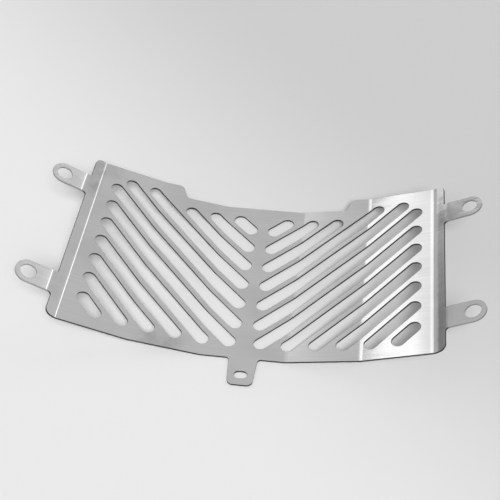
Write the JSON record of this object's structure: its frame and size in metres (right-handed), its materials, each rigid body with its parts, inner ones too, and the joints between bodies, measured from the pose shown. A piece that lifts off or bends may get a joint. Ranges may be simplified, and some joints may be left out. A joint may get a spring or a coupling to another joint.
{
  "type": "motorcycle radiator guard",
  "caption": "Folded stainless sheet guard with slanted slots that rise from a plain spine, raised side lips and bent tabs, bolted over a motorcycle's radiator core to stop stones.",
  "frame": {"origin": "middle of the box around the part, on the plane of the centre facet's back face", "axes": "+Z out of the hollow face of the centre facet, +Y towards the edge with the recess, +X to the right seen from the hollow side"},
  "size_m": [0.3238, 0.1872, 0.0457],
  "materials": {
    "brushed_stainless": "fine brushed across the sheet, with plain cut edges"
  },
  "bodies": {
    "root": {"radiator_guard": "brushed_stainless"}
  },
  "joints": []
}
